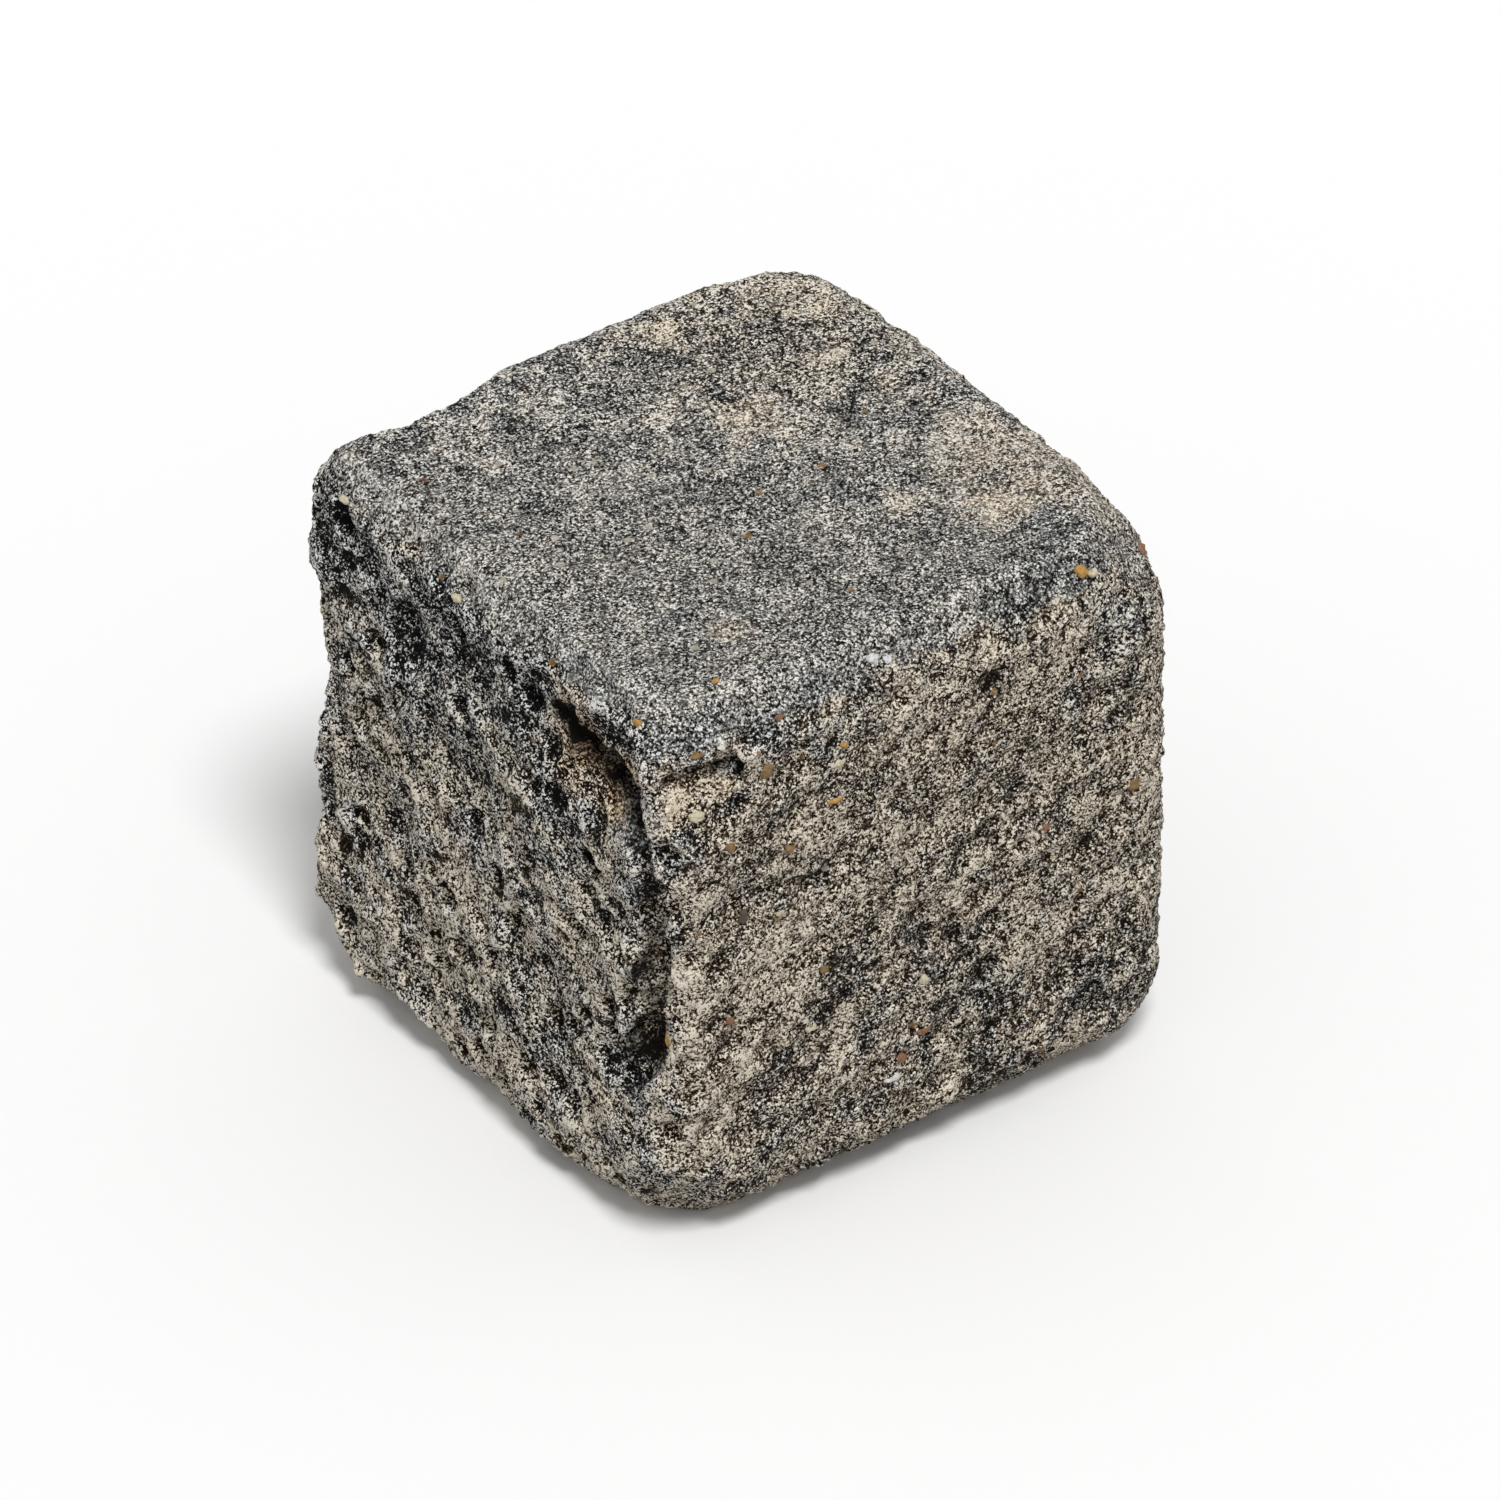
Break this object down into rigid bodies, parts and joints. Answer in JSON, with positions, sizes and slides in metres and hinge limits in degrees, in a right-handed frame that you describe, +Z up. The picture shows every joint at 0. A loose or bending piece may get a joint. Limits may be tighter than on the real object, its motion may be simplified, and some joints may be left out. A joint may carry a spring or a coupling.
{
  "type": "concrete wall block",
  "caption": "Cube-shaped tumbled concrete block for dry or mortared garden walls, with rounded arrises, blunted corners and a rough split-like end.",
  "frame": {"origin": "middle of the underside, on the level the block stands on", "axes": "+Z up from the lower bed face to the upper bed face; -Y out of the front face; -X out of the rough left end"},
  "size_m": [0.15, 0.15, 0.15],
  "materials": {
    "concrete": "rough tumbled concrete with exposed sand, grey and charcoal with beige patches"
  },
  "bodies": {
    "root": {"wall_block": "concrete"}
  },
  "joints": []
}
